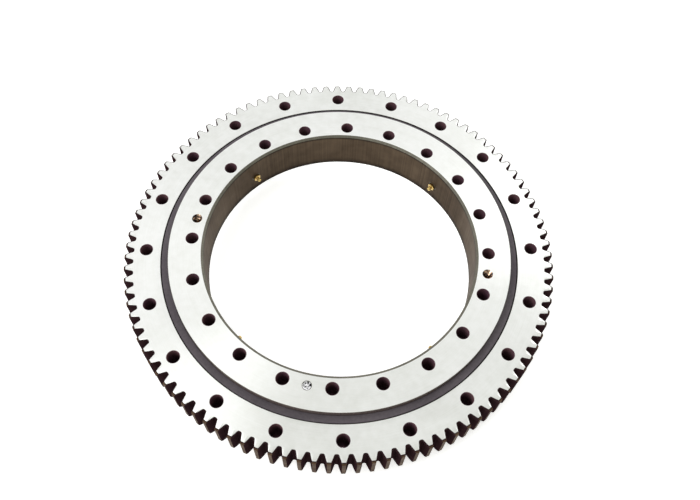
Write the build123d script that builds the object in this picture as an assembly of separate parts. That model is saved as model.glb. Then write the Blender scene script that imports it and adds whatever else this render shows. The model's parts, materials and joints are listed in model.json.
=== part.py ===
"""Single row four-point contact ball slewing ring with an external spur gear.

The row stands on the outer ring's bottom face, with +Z up and the origin on the ring's axis. A profile is
drawn in the plane of radius and height, X being the radius, and is turned about Z. The two rings face each
other through the ball circle, so most of the inner ring's profile is the outer ring's, turned half a turn
about the ball's centre.
"""
from build123d import *
from math import atan2, cos, hypot, pi, radians, sin, sqrt, tan
import os

# Driving dimensions, in millimetres and degrees.
BALL_CIRCLE = 500.0
BALL_D = 30.0
BALL_COUNT = 46
RING_HEIGHT = 70.0
RING_STEP = 10.0
BORE_D = 398.0
OUTER_BOLT_CIRCLE = 566.0
INNER_BOLT_CIRCLE = 434.0
BOLT_COUNT = 20
BOLT_HOLE_D = 18.0
BOLT_HOLE_CHAMFER = 0.5
INNER_RING_REST_ANGLE = -3.6

# Gear on the outer ring.
MODULE = 6.0
TEETH = 102
PRESSURE_ANGLE = 20.0
PROFILE_SHIFT = 0.5
ADDENDUM_FACTOR = 0.9
DEDENDUM_FACTOR = 1.25
ROOT_FILLET = 1.6
FACE_WIDTH = 50.0
TIP_CHAMFER = 2.0
FIRST_TOOTH_ANGLE = 1.9
RIM_BELOW_GEAR_D = 594.0

# Gap between the rings, raceways and corner chamfers.
RING_GAP = 1.0
RACE_RADIUS = 15.9
RACE_CLEARANCE = 0.3
CONTACT_ANGLE = 45.0
RACE_EDGE_CHAMFER = 0.6
BORE_CHAMFER_WIDTH = 3.5
BORE_CHAMFER_DEPTH = 2.5
FACE_CHAMFER = 0.4
RIM_CHAMFER = 2.0
SEAL_RECESS_WIDTH = 11.0
SEAL_RECESS_DEPTH = 8.0

# Seal: its tongue sits in a groove in one ring, and its lip runs over the other ring's recess.
GROOVE_DEPTH = 4.0
GROOVE_WIDTH = 3.0
GROOVE_BELOW_FACE = 3.0
SEAL_FIT = 0.2
SEAL_WIDTH = 9.3
SEAL_BELOW_FACE = 0.5
SEAL_UNDER_BODY = 7.0
LIP_CLEARANCE = 0.3
LIP_WIDTH = 1.2
RELIEF_WIDTH = 2.6
RELIEF_DEPTH = 1.6
SEAL_EDGE = 1.0

# Filling plug and its taper pin.
PLUG_D = 34.0
PLUG_ANGLE = -99.0
PLUG_FIT = 0.02
PLUG_JACKING_D = 8.5
PLUG_JACKING_DEPTH = 12.0
PIN_HEAD_D = 12.0
PIN_TAPER = 1 / 50
PIN_LENGTH = 60.0
PIN_SUNK = 0.3
PIN_HOLE_CHAMFER = 0.8
PIN_BOTTOM_ROOM = 2.0

# Tapped lifting holes, M12.
LIFT_ANGLES = (-9.0, 171.0)
LIFT_DRILL_D = 10.2
LIFT_DEPTH = 26.0
LIFT_MOUTH_D = 15.0
DRILL_POINT_ANGLE = 118.0

# Grease nipples, M10 x 1, and the passages behind them.
NIPPLE_COUNT = 4
NIPPLE_ANGLE = 45.0
NIPPLE_THREAD_D = 10.0
NIPPLE_THREAD_LENGTH = 8.0
NIPPLE_LEAD = 1.0
NIPPLE_PORT_DEPTH = 11.0
NIPPLE_FIT = 0.03
PORT_CHAMFER = 0.6
SPOTFACE_D = 15.0
SPOTFACE_DEPTH = 0.5
PASSAGE_D = 4.0
PASSAGE_OVERRUN = 1.0
HEX_ACROSS_FLATS = 11.0
HEX_HEIGHT = 4.0
HEX_CORNER_D = 12.2
HEX_CORNER_RISE = 0.6
NECK_D = 5.0
NECK_TOP = 6.0
HEAD_D = 6.6
HEAD_LOW = 7.2
HEAD_HIGH = 8.0
NIPPLE_TIP_D = 4.2
NIPPLE_STAND = 10.0
NIPPLE_BORE_D = 3.6
NIPPLE_MOUTH_D = 2.0
CHECK_BALL_D = 3.0
CHECK_BALL_SEAT_GAP = 0.08
MOUTH_WALL = 0.7
SPRING_WIRE_D = 0.4
SPRING_D = 3.0
SPRING_TURNS = 7
SPRING_END_LIP = 0.9
SPRING_END_HOLE_D = 2.0
SPRING_BALL_GAP = 0.05

# Ball spacers.
SPACER_D = 22.0
SPACER_WIDTH = 12.0
SPACER_SEAT_GAP = 0.3
SPACER_HOLE_D = 6.0

# Places worked out from the driving dimensions.
BALL_RADIUS = BALL_D / 2
CIRCLE_RADIUS = BALL_CIRCLE / 2
BALL_PLANE = (RING_HEIGHT + RING_STEP) / 2
OUTER_WALL = CIRCLE_RADIUS + RING_GAP / 2
TOTAL_HEIGHT = RING_HEIGHT + RING_STEP
GEAR_BOTTOM = RING_HEIGHT - FACE_WIDTH
BORE_RADIUS = BORE_D / 2
PITCH_RADIUS = MODULE * TEETH / 2
BASE_RADIUS = PITCH_RADIUS * cos(radians(PRESSURE_ANGLE))
TIP_RADIUS = PITCH_RADIUS + MODULE * (ADDENDUM_FACTOR + PROFILE_SHIFT)
ROOT_RADIUS = PITCH_RADIUS - MODULE * (DEDENDUM_FACTOR - PROFILE_SHIFT)


def turned(points):
    """A solid of revolution about Z from straight runs between (radius, height) points."""
    return revolve(make_face(Polyline(*[(r, 0, z) for r, z in points], close=True)), Axis.Z)


def across(points):
    """The same (radius, height) points, turned half a turn about the ball's centre."""
    return [(2 * CIRCLE_RADIUS - r, 2 * BALL_PLANE - z) for r, z in points]


def around(count, first=0.0):
    """Angles of equally spaced places round the axis."""
    return [first + n * 360 / count for n in range(count)]


def at(angle, shape, radius=0.0, height=0.0):
    """A shape moved out along X to a radius and up to a height, then turned about Z."""
    return Rot(0, 0, angle) * Pos(radius, 0, height) * shape


# ---------------------------------------------------------------- raceways

def raceway_cutter():
    """A pointed-arch groove as wide as the ball: four arcs, each centred a little past the ball's centre.

    Each arc leaves the race clearance at the contact angle, and neighbouring arcs meet at a point on the
    ball plane and above and below the ball, where only the gap between the rings is.
    """
    offset = RACE_RADIUS - BALL_RADIUS - RACE_CLEARANCE
    shift = (offset * cos(radians(CONTACT_ANGLE)), offset * sin(radians(CONTACT_ANGLE)))
    point_out = sqrt(RACE_RADIUS**2 - shift[1] ** 2) - shift[0]
    point_up = sqrt(RACE_RADIUS**2 - shift[0] ** 2) - shift[1]
    middle = RACE_RADIUS - offset
    diagonal = (middle * cos(radians(CONTACT_ANGLE)), middle * sin(radians(CONTACT_ANGLE)))

    def spot(across_gap, up):
        return (CIRCLE_RADIUS + across_gap, 0, BALL_PLANE + up)

    arcs = [
        ThreePointArc(spot(point_out, 0), spot(diagonal[0], diagonal[1]), spot(0, point_up)),
        ThreePointArc(spot(0, point_up), spot(-diagonal[0], diagonal[1]), spot(-point_out, 0)),
        ThreePointArc(spot(-point_out, 0), spot(-diagonal[0], -diagonal[1]), spot(0, -point_up)),
        ThreePointArc(spot(0, -point_up), spot(diagonal[0], -diagonal[1]), spot(point_out, 0)),
    ]
    return revolve(make_face(Wire(arcs)), Axis.Z)


def raceway_edge_height():
    """Height above the ball plane at which the raceway meets the outer ring's wall."""
    offset = (RACE_RADIUS - BALL_RADIUS - RACE_CLEARANCE) * cos(radians(CONTACT_ANGLE))
    return sqrt(RACE_RADIUS**2 - (RING_GAP / 2 + offset) ** 2) - offset


# ---------------------------------------------------------------- gear

def flank_half_angle(radius):
    """Half the angle that an involute tooth spans at a radius, in radians."""
    slope = tan(radians(PRESSURE_ANGLE))
    half_at_pitch = (pi / 2 + 2 * PROFILE_SHIFT * slope) / TEETH
    pressure = sqrt((radius / BASE_RADIUS) ** 2 - 1)
    return half_at_pitch + slope - radians(PRESSURE_ANGLE) - (pressure - atan2(pressure, 1))


def fillet_centre(radius):
    """Centre of a fillet that touches the flank at a radius, on the gap's side, for a tooth on X."""
    angle = flank_half_angle(radius)
    lean = angle - atan2(sqrt(radius**2 - BASE_RADIUS**2), BASE_RADIUS)
    return (
        radius * cos(angle) - ROOT_FILLET * sin(lean),
        radius * sin(angle) + ROOT_FILLET * cos(lean),
    )


def fillet_start():
    """Radius at which the root fillet leaves the flank: its centre is a fillet radius above the root."""
    low, high = ROOT_RADIUS, ROOT_RADIUS + 2 * ROOT_FILLET
    for _ in range(50):
        middle = (low + high) / 2
        if hypot(*fillet_centre(middle)) < ROOT_RADIUS + ROOT_FILLET:
            low = middle
        else:
            high = middle
    return low


def tooth_points():
    """Points of half a tooth on X: root, fillet middle, fillet start, flank middle and tip corner."""
    start = fillet_start()
    centre = fillet_centre(start)
    turn = atan2(centre[1], centre[0])
    touch = (start * cos(flank_half_angle(start)), start * sin(flank_half_angle(start)))
    root = (ROOT_RADIUS * cos(turn), ROOT_RADIUS * sin(turn))
    chord = ((touch[0] + root[0]) / 2 - centre[0], (touch[1] + root[1]) / 2 - centre[1])
    reach = ROOT_FILLET / hypot(*chord)
    bend = (centre[0] + chord[0] * reach, centre[1] + chord[1] * reach)
    middle_radius = (start + TIP_RADIUS) / 2
    middle, tip = [
        (radius * cos(flank_half_angle(radius)), radius * sin(flank_half_angle(radius)))
        for radius in (middle_radius, TIP_RADIUS)
    ]
    return [root, bend, touch, middle, tip]


def gear_outline():
    """The closed outline of all the teeth: each flank is the arc through three points of its involute."""
    half = tooth_points()
    tooth = [(x, -y) for x, y in half] + [(TIP_RADIUS, 0.0)] + half[::-1]
    root_gap_angle = pi / TEETH
    bottom = (ROOT_RADIUS * cos(root_gap_angle), ROOT_RADIUS * sin(root_gap_angle))
    ring = []
    for turn in around(TEETH, FIRST_TOOTH_ANGLE):
        ring += [Vector(x, y).rotate(Axis.Z, turn) for x, y in tooth + [bottom]]
    ring.append(ring[0])
    return Wire([ThreePointArc(*ring[n : n + 3]) for n in range(0, len(ring) - 1, 2)])


def gear_rim():
    """The toothed rim, its tooth tips chamfered at both ends, down to a plain rim of less diameter."""
    teeth = Pos(0, 0, GEAR_BOTTOM) * extrude(make_face(gear_outline()), FACE_WIDTH)
    beyond = TIP_RADIUS + TIP_CHAMFER
    within = TIP_RADIUS - TIP_CHAMFER
    for end, way in ((RING_HEIGHT, 1), (GEAR_BOTTOM, -1)):
        corner = [
            (within, end),
            (TIP_RADIUS, end - way * TIP_CHAMFER),
            (beyond, end - way * TIP_CHAMFER),
            (beyond, end + way * TIP_CHAMFER),
            (within, end + way * TIP_CHAMFER),
        ]
        teeth -= turned(corner)
    return teeth


# ---------------------------------------------------------------- rings

def wall_profile():
    """The outer ring's gap side, from its bottom face up to its top face's inner edge.

    It holds the groove for the bottom seal, the chamfers beside the raceway and the top seal's recess.
    """
    groove_top = RING_STEP + GROOVE_BELOW_FACE + GROOVE_WIDTH
    groove_low = RING_STEP + GROOVE_BELOW_FACE
    edge = raceway_edge_height()
    floor = RING_HEIGHT - SEAL_RECESS_DEPTH
    return [
        (OUTER_WALL + FACE_CHAMFER, 0.0),
        (OUTER_WALL, FACE_CHAMFER),
        (OUTER_WALL, groove_low),
        (OUTER_WALL + GROOVE_DEPTH, groove_low),
        (OUTER_WALL + GROOVE_DEPTH, groove_top),
        (OUTER_WALL, groove_top),
        (OUTER_WALL, BALL_PLANE - edge - RACE_EDGE_CHAMFER),
        (OUTER_WALL + RACE_EDGE_CHAMFER, BALL_PLANE - edge),
        (OUTER_WALL + RACE_EDGE_CHAMFER, BALL_PLANE + edge),
        (OUTER_WALL, BALL_PLANE + edge + RACE_EDGE_CHAMFER),
        (OUTER_WALL, floor),
        (OUTER_WALL + SEAL_RECESS_WIDTH, floor),
        (OUTER_WALL + SEAL_RECESS_WIDTH, RING_HEIGHT - FACE_CHAMFER),
        (OUTER_WALL + SEAL_RECESS_WIDTH + FACE_CHAMFER, RING_HEIGHT),
    ]


def bolt_hole_cutter():
    """A through hole with a chamfer at both faces, standing on its lower face."""
    radius = BOLT_HOLE_D / 2
    wide = radius + BOLT_HOLE_CHAMFER
    return turned([
        (0, 0),
        (wide, 0),
        (radius, BOLT_HOLE_CHAMFER),
        (radius, RING_HEIGHT - BOLT_HOLE_CHAMFER),
        (wide, RING_HEIGHT),
        (0, RING_HEIGHT),
    ])


def outer_ring():
    """The geared outer ring, which stands on the ground."""
    rim = RIM_BELOW_GEAR_D / 2
    body = turned(wall_profile() + [
        (ROOT_RADIUS - MODULE, RING_HEIGHT),
        (ROOT_RADIUS - MODULE, GEAR_BOTTOM + MODULE),
        (rim, GEAR_BOTTOM + MODULE),
        (rim, RIM_CHAMFER),
        (rim - RIM_CHAMFER, 0),
    ])
    teeth = gear_rim() - Pos(0, 0, GEAR_BOTTOM) * Cylinder(
        ROOT_RADIUS - MODULE, FACE_WIDTH, align=(Align.CENTER, Align.CENTER, Align.MIN)
    )
    ring = body + teeth - raceway_cutter()
    hole = bolt_hole_cutter()
    return ring - [at(angle, hole, OUTER_BOLT_CIRCLE / 2) for angle in around(BOLT_COUNT)]


def inner_blank():
    """The inner ring before its holes and its raceway are cut: bore, faces, recess and groove."""
    wall = across(wall_profile())
    bore = [
        (BORE_RADIUS + BORE_CHAMFER_WIDTH, RING_STEP),
        (BORE_RADIUS, RING_STEP + BORE_CHAMFER_DEPTH),
        (BORE_RADIUS, TOTAL_HEIGHT - BORE_CHAMFER_DEPTH),
        (BORE_RADIUS + BORE_CHAMFER_WIDTH, TOTAL_HEIGHT),
    ]
    return turned(wall + bore)


def lifting_hole_cutter():
    """A blind tapping-size hole, its mouth at height 0, with a drill point and a wide mouth chamfer."""
    radius, mouth = LIFT_DRILL_D / 2, LIFT_MOUTH_D / 2
    point = radius / tan(radians(DRILL_POINT_ANGLE / 2))
    return turned([
        (0, 0),
        (mouth, 0),
        (radius, radius - mouth),
        (radius, -LIFT_DEPTH),
        (0, -LIFT_DEPTH - point),
    ])


def pin_outline(length, extra):
    """A taper from the pin's head at height 0 downwards, widened by extra all round."""
    head = PIN_HEAD_D / 2 + extra
    return [(0, 0), (head, 0), (head - length * PIN_TAPER / 2, -length), (0, -length)]


def pin_hole_cutter():
    """The reamed taper hole for the pin, a little deeper than the pin, with a small mouth chamfer."""
    mouth = PIN_HEAD_D / 2 + PIN_HOLE_CHAMFER
    chamfer = turned([
        (0, 0),
        (mouth, 0),
        (mouth - PIN_HOLE_CHAMFER, -PIN_HOLE_CHAMFER),
        (0, -PIN_HOLE_CHAMFER),
    ])
    return turned(pin_outline(PIN_LENGTH + PIN_SUNK + PIN_BOTTOM_ROOM, PLUG_FIT)) + chamfer


def plug_axis_cylinder(radius):
    """A level cylinder from inside the bore out past the raceway, on the plug's axis."""
    length = CIRCLE_RADIUS - BORE_RADIUS + BALL_RADIUS
    start = BORE_RADIUS - BALL_RADIUS
    lying = Rot(0, 90, 0) * Cylinder(radius, length, align=(Align.CENTER, Align.CENTER, Align.MIN))
    return at(PLUG_ANGLE, lying, start, BALL_PLANE)


def nipple_port_cutter():
    """The nipple's spot face and tapped port in the bore, and the passage on to the raceway, along X."""
    port = NIPPLE_THREAD_D / 2
    end = CIRCLE_RADIUS - BORE_RADIUS - BALL_RADIUS + PASSAGE_OVERRUN
    profile = [
        (0, -SPOTFACE_DEPTH),
        (SPOTFACE_D / 2, -SPOTFACE_DEPTH),
        (SPOTFACE_D / 2, SPOTFACE_DEPTH),
        (port + PORT_CHAMFER, SPOTFACE_DEPTH),
        (port, SPOTFACE_DEPTH + PORT_CHAMFER),
        (port, NIPPLE_PORT_DEPTH),
        (PASSAGE_D / 2, NIPPLE_PORT_DEPTH + port / 2),
        (PASSAGE_D / 2, end),
        (0, end),
    ]
    return Pos(BORE_RADIUS, 0, BALL_PLANE) * Rot(0, 90, 0) * turned(profile)


def pin_place(shape):
    """A shape put at the taper pin's place on the inner ring's top face."""
    return at(PLUG_ANGLE, shape, INNER_BOLT_CIRCLE / 2, TOTAL_HEIGHT)


def inner_ring():
    """The inner ring with its bolt holes, lifting holes, filling hole, pin hole and grease ports.

    The raceway comes last, because it runs through the filling hole and the grease passages.
    """
    hole = bolt_hole_cutter()
    lift = lifting_hole_cutter()
    port = nipple_port_cutter()
    ring = inner_blank() - plug_axis_cylinder(PLUG_D / 2) - pin_place(pin_hole_cutter())
    radius = INNER_BOLT_CIRCLE / 2
    ring -= [at(angle, hole, radius, RING_STEP) for angle in around(BOLT_COUNT)]
    ring -= [at(angle, lift, radius, TOTAL_HEIGHT) for angle in LIFT_ANGLES]
    ring -= [at(angle, port) for angle in around(NIPPLE_COUNT, NIPPLE_ANGLE)]
    return ring - raceway_cutter()


# ---------------------------------------------------------------- filling plug and pin

def filling_plug():
    """The plug that closes the filling hole, turned flush with the bore and ground with the raceway."""
    plug = plug_axis_cylinder(PLUG_D / 2 - PLUG_FIT) & inner_blank()
    jacking = at(
        PLUG_ANGLE,
        Rot(0, 90, 0) * Cylinder(
            PLUG_JACKING_D / 2, 2 * PLUG_JACKING_DEPTH, align=(Align.CENTER, Align.CENTER, Align.CENTER)
        ),
        BORE_RADIUS,
        BALL_PLANE,
    )
    return plug - jacking - pin_place(pin_hole_cutter()) - raceway_cutter()


def taper_pin():
    """The taper pin that locks the plug, its head just under the ring's top face."""
    return pin_place(Pos(0, 0, -PIN_SUNK) * turned(pin_outline(PIN_LENGTH, 0)))


# ---------------------------------------------------------------- seals

def top_seal_profile():
    """The top seal's section: a tongue in the inner ring's groove, a body and a lip that points down."""
    wall = CIRCLE_RADIUS - RING_GAP / 2
    tongue = wall - GROOVE_DEPTH + SEAL_FIT
    near = wall + SEAL_FIT
    far = near + SEAL_WIDTH
    groove_high = RING_HEIGHT - GROOVE_BELOW_FACE - SEAL_FIT
    groove_low = RING_HEIGHT - GROOVE_BELOW_FACE - GROOVE_WIDTH + SEAL_FIT
    top = RING_HEIGHT - SEAL_BELOW_FACE
    under = RING_HEIGHT - SEAL_UNDER_BODY
    lip = RING_HEIGHT - SEAL_RECESS_DEPTH + LIP_CLEARANCE
    return [
        (tongue, groove_low),
        (near, groove_low),
        (near, under),
        (far - LIP_WIDTH - RELIEF_WIDTH - RELIEF_DEPTH, under),
        (far - LIP_WIDTH - RELIEF_WIDTH, under + RELIEF_DEPTH),
        (far - LIP_WIDTH - RELIEF_DEPTH, under + RELIEF_DEPTH),
        (far - LIP_WIDTH, lip),
        (far, lip),
        (far, top - SEAL_EDGE),
        (far - SEAL_EDGE / 2, top),
        (near + SEAL_EDGE, top),
        (near, top - SEAL_EDGE),
        (near, groove_high),
        (tongue, groove_high),
    ]


# ---------------------------------------------------------------- balls and spacers

def ball_spacer():
    """A round pad on X between two balls, hollowed on both sides to their shape, with a grease hole."""
    half_step = 180 / BALL_COUNT
    pad = Cylinder(SPACER_D / 2, SPACER_WIDTH) - Cylinder(SPACER_HOLE_D / 2, SPACER_WIDTH)
    seat = Sphere(BALL_RADIUS + SPACER_SEAT_GAP)
    placed = Pos(CIRCLE_RADIUS * cos(radians(half_step)), 0, 0) * Rot(90, 0, 0) * pad
    return placed - [at(way * half_step, seat, CIRCLE_RADIUS) for way in (-1, 1)]


# ---------------------------------------------------------------- grease nipples

def nipple_ball_place():
    """How far the check ball's centre lies above the nipple's seat."""
    return NIPPLE_STAND - MOUTH_WALL - CHECK_BALL_SEAT_GAP - CHECK_BALL_D / 2


def nipple_body():
    """A nipple along +Z, its hexagon seated at height 0, its thread below and its head above.

    The stem's bore runs from a lip under the thread up to a conical seat below the mouth.
    """
    thread = NIPPLE_THREAD_D / 2 - NIPPLE_FIT
    outside = turned([
        (0, -NIPPLE_THREAD_LENGTH),
        (thread - NIPPLE_LEAD, -NIPPLE_THREAD_LENGTH),
        (thread, NIPPLE_LEAD - NIPPLE_THREAD_LENGTH),
        (thread, HEX_HEIGHT / 2),
        (NECK_D / 2, HEX_HEIGHT / 2),
        (NECK_D / 2, NECK_TOP),
        (HEAD_D / 2, HEAD_LOW),
        (HEAD_D / 2, HEAD_HIGH),
        (NIPPLE_TIP_D / 2, NIPPLE_STAND),
        (0, NIPPLE_STAND),
    ])
    hexagon = extrude(RegularPolygon(HEX_ACROSS_FLATS / 2, 6, major_radius=False), HEX_HEIGHT)
    corner = turned([
        (0, 0),
        (HEX_CORNER_D / 2, 0),
        (HEX_CORNER_D / 2, HEX_HEIGHT - HEX_CORNER_RISE),
        (HEX_CORNER_D / 2 - 2 * HEX_CORNER_RISE, HEX_HEIGHT),
        (0, HEX_HEIGHT),
    ])
    seat = nipple_ball_place()
    inside = turned([
        (0, -NIPPLE_THREAD_LENGTH),
        (SPRING_END_HOLE_D / 2, -NIPPLE_THREAD_LENGTH),
        (SPRING_END_HOLE_D / 2, SPRING_END_LIP - NIPPLE_THREAD_LENGTH),
        (NIPPLE_BORE_D / 2, SPRING_END_LIP - NIPPLE_THREAD_LENGTH),
        (NIPPLE_BORE_D / 2, seat),
        (NIPPLE_MOUTH_D / 2, NIPPLE_STAND - MOUTH_WALL / 2),
        (NIPPLE_MOUTH_D / 2, NIPPLE_STAND),
        (0, NIPPLE_STAND),
    ])
    return outside + (hexagon & corner) - inside


def nipple_spring():
    """The coil spring under the check ball, along +Z in the nipple's bore."""
    low = SPRING_END_LIP - NIPPLE_THREAD_LENGTH + SPRING_WIRE_D / 2 + SPRING_BALL_GAP
    radius = (SPRING_D - SPRING_WIRE_D) / 2
    ball_reach = CHECK_BALL_D / 2 + SPRING_WIRE_D / 2 + SPRING_BALL_GAP
    high = nipple_ball_place() - sqrt(ball_reach**2 - radius**2)
    path = Pos(0, 0, low) * Helix((high - low) / SPRING_TURNS, high - low, radius)
    wire = Plane(origin=path @ 0, z_dir=path % 0) * Circle(SPRING_WIRE_D / 2)
    return sweep(wire, path)


def in_bore(shape, angle):
    """A shape drawn along +Z on its seat, laid level on a port's spot face with +Z pointing to the axis."""
    return at(angle, Rot(0, -90, 0) * shape, BORE_RADIUS + SPOTFACE_DEPTH, BALL_PLANE)


def on_inner_ring(shape):
    """The inner ring's parts stand turned from the outer ring's at rest."""
    return Rot(0, 0, INNER_RING_REST_ANGLE) * shape


def all_parts():
    """Every node's name and shape."""
    nipple_angles = around(NIPPLE_COUNT, NIPPLE_ANGLE)
    body, spring, spacer = nipple_body(), nipple_spring(), ball_spacer()
    check_ball = Pos(0, 0, nipple_ball_place()) * Sphere(CHECK_BALL_D / 2)
    seal = top_seal_profile()
    parts = {
        "outer_ring": outer_ring(),
        "inner_ring": on_inner_ring(inner_ring()),
        "top_seal": on_inner_ring(turned(seal)),
        "bottom_seal": turned(across(seal)),
        "filling_plug": on_inner_ring(filling_plug()),
        "plug_taper_pin": on_inner_ring(taper_pin()),
        "grease_nipples": Compound([on_inner_ring(in_bore(body, angle)) for angle in nipple_angles]),
        "nipple_springs": Compound([on_inner_ring(in_bore(spring, angle)) for angle in nipple_angles]),
    }
    for number, angle in enumerate(nipple_angles, 1):
        parts[f"nipple_check_ball_{number}"] = on_inner_ring(in_bore(check_ball, angle))
    half_step = 180 / BALL_COUNT
    ball_angles = around(BALL_COUNT)
    spacers = [at(angle + half_step, spacer, 0, BALL_PLANE) for angle in ball_angles]
    parts["ball_spacers"] = Compound(spacers)
    for number, angle in enumerate(ball_angles, 1):
        parts[f"ball_{number:02d}"] = at(angle, Sphere(BALL_RADIUS), CIRCLE_RADIUS, BALL_PLANE)
    return parts


os.makedirs("parts", exist_ok=True)
for name, shape in all_parts().items():
    export_step(shape, f"parts/{name}.step")
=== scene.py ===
"""The looks of a geared slewing ring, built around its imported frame.

The rings, seals, nipples, springs and taper pin are surfaces worked out with numpy. The balls, spacers and
filling plug are the frame's own solids with new finishes. Lengths are in metres, in the frame's axes:
+Z up along the ring's axis, from the outer ring's bottom face, and +X through one of its bolt holes.
"""

import json
from math import asin, atan2, cos, hypot, pi, radians, sin, sqrt, tan

import bpy
import numpy as np
from bpy.props import FloatProperty, FloatVectorProperty, IntProperty, PointerProperty
from mathutils import Matrix, Vector


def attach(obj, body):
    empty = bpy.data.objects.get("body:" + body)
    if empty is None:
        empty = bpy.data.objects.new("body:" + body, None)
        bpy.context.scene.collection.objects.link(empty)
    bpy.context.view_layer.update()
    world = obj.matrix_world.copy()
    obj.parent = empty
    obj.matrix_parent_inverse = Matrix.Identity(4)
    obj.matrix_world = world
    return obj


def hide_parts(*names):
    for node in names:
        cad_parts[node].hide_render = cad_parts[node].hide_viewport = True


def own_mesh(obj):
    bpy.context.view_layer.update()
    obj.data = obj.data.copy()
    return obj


bl_info = {
    "name": "Slewing Ring Bearing",
    "version": (1, 0, 0),
    "blender": (4, 5, 0),
    "location": "View3D > Sidebar > Slewing Ring",
    "description": "Builds the rings, seals, nipples and finishes of a geared slewing ring",
    "category": "Add Mesh",
}

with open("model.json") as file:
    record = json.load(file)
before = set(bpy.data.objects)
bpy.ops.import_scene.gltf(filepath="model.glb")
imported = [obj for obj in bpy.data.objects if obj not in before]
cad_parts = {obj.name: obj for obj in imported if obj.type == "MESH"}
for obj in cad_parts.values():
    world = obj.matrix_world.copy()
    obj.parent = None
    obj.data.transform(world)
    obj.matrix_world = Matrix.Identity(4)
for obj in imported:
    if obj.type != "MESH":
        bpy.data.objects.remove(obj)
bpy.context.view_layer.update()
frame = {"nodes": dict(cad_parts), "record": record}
MOUNTS = {mount["name"]: mount for mount in frame["record"]["mounts"]}

MM = 0.001
OUTER_BODY = "outer_ring_body"
INNER_BODY = "inner_ring_body"
RING_COLUMNS = 720
SHARP_ANGLE = radians(30)
PORT_DEPTH = 9.0 * MM
PLUG_RECESS = 3.0 * MM
PIN_SUNK = 0.3 * MM
# How far out from the bore wall the nipples carry painted shade.
WALL_SHADE_REACH = 3.0 * MM
# Colour of the painted shade lines on the bore.
PAINTED_SHADE_DARK = (0.010, 0.006, 0.004)
FLOAT, VECTOR = "NodeSocketFloat", "NodeSocketVector"

# Finishes of the rings, in the order of their material slots. The inner ring has its bore and the wall of
# its step where the outer ring has its flanks and its tips.
FACE, FACE_EDGE, FLANK, TIP, HOLE, RECESS, RACE, RIM, THREAD = range(9)
BORE, STEP = FLANK, TIP
# The mouth chamfers of a hole take the hole finish, so its painted shade reaches to the face.
HOLED_BANDS = [FACE, HOLE, HOLE, HOLE, FACE]


# ---------------------------------------------------------------- sizes and colours

def length(name, description, millimetres):
    """A length that the sidebar shows in the scene's unit."""
    return FloatProperty(
        name=name, description=description, default=millimetres * MM, min=0.0, unit="LENGTH", precision=5
    )


def angle(name, description, in_degrees):
    """An angle that the sidebar shows in degrees."""
    return FloatProperty(
        name=name, description=description, default=radians(in_degrees), subtype="ANGLE", unit="ROTATION"
    )


def colour(name, description, red, green, blue):
    """A linear colour with a picker in the sidebar."""
    return FloatVectorProperty(
        name=name, description=description, default=(red, green, blue), size=3, min=0.0, max=1.0,
        subtype="COLOR",
    )


class RingSizes(bpy.types.PropertyGroup):
    """Sizes that both rings, the raceway and the bolt circles share."""

    circle: length("Ball circle radius", "From the axis to the balls' centres", 250.0)
    gap: length("Ring gap", "Between the two rings' walls", 1.0)
    height: length("Ring height", "Of each ring", 70.0)
    step: length("Ring step", "How far the inner ring stands above the outer", 10.0)
    bore: length("Bore radius", "Of the inner ring", 199.0)
    bore_chamfer: length("Bore chamfer width", "Out from the bore, at both its ends", 3.5)
    bore_chamfer_depth: length("Bore chamfer depth", "Along the axis", 2.5)
    face_chamfer: length("Face chamfer", "Broken edge where a face meets a wall", 0.4)
    outer_bolts: length(
        "Outer bolt circle radius", "On the geared ring", MOUNTS["outer_bolt_circle"]["dims"]["pcd_mm"] / 2
    )
    inner_bolts: length(
        "Inner bolt circle radius", "On the bore ring", MOUNTS["inner_bolt_circle"]["dims"]["pcd_mm"] / 2
    )
    hole: length("Bolt hole radius", "Of all bolt holes", MOUNTS["outer_bolt_circle"]["dims"]["hole_r_mm"])
    hole_chamfer: length("Bolt hole chamfer", "At both ends of a bolt hole", 0.5)
    holes: IntProperty(
        name="Bolt holes", description="On each ring", default=MOUNTS["outer_bolt_circle"]["dims"]["count"],
        min=3,
    )
    rest: angle("Inner ring's angle", "How far the inner ring stands turned from the outer", -3.6)
    race: length("Raceway radius", "Of each of the raceway's four arcs", 15.9)
    race_offset: length("Raceway offset", "From the ball's centre to an arc's centre", 0.6)
    race_chamfer: length("Raceway edge", "Chamfer beside the raceway", 0.6)
    groove_depth: length("Seal groove depth", "In the ring that holds the seal", 4.0)
    groove_width: length("Seal groove width", "Along the axis", 3.0)
    groove_below: length("Seal groove below face", "From the lower ring face to the groove", 3.0)
    recess_width: length("Seal recess width", "Out from the gap", 11.0)
    recess_depth: length("Seal recess depth", "Down from the face", 8.0)


class GearSizes(bpy.types.PropertyGroup):
    """Sizes of the spur gear on the outer ring."""

    teeth: IntProperty(name="Teeth", description="All round", default=102, min=20)
    module: length("Module", "Pitch diameter over the number of teeth", 6.0)
    pressure: angle("Pressure angle", "Of the basic rack", 20.0)
    shift: FloatProperty(name="Profile shift", description="In modules, outwards", default=0.5)
    addendum: FloatProperty(name="Addendum", description="In modules", default=0.9)
    dedendum: FloatProperty(name="Dedendum", description="In modules", default=1.25)
    fillet: length("Root fillet", "Between a flank and the root", 1.6)
    width: length("Face width", "Down from the outer ring's top face", 50.0)
    chamfer: length("Tip chamfer", "At both ends of each tooth", 2.0)
    burr: length("Tooth edge", "Filed edge round the teeth at the top face", 1.2)
    first: angle("First tooth", "Angle of a tooth's middle from +X", 1.9)
    rim: length("Rim radius", "Of the plain rim below the gear", 297.0)
    rim_chamfer: length("Rim chamfer", "At the rim's bottom", 2.0)


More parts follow.
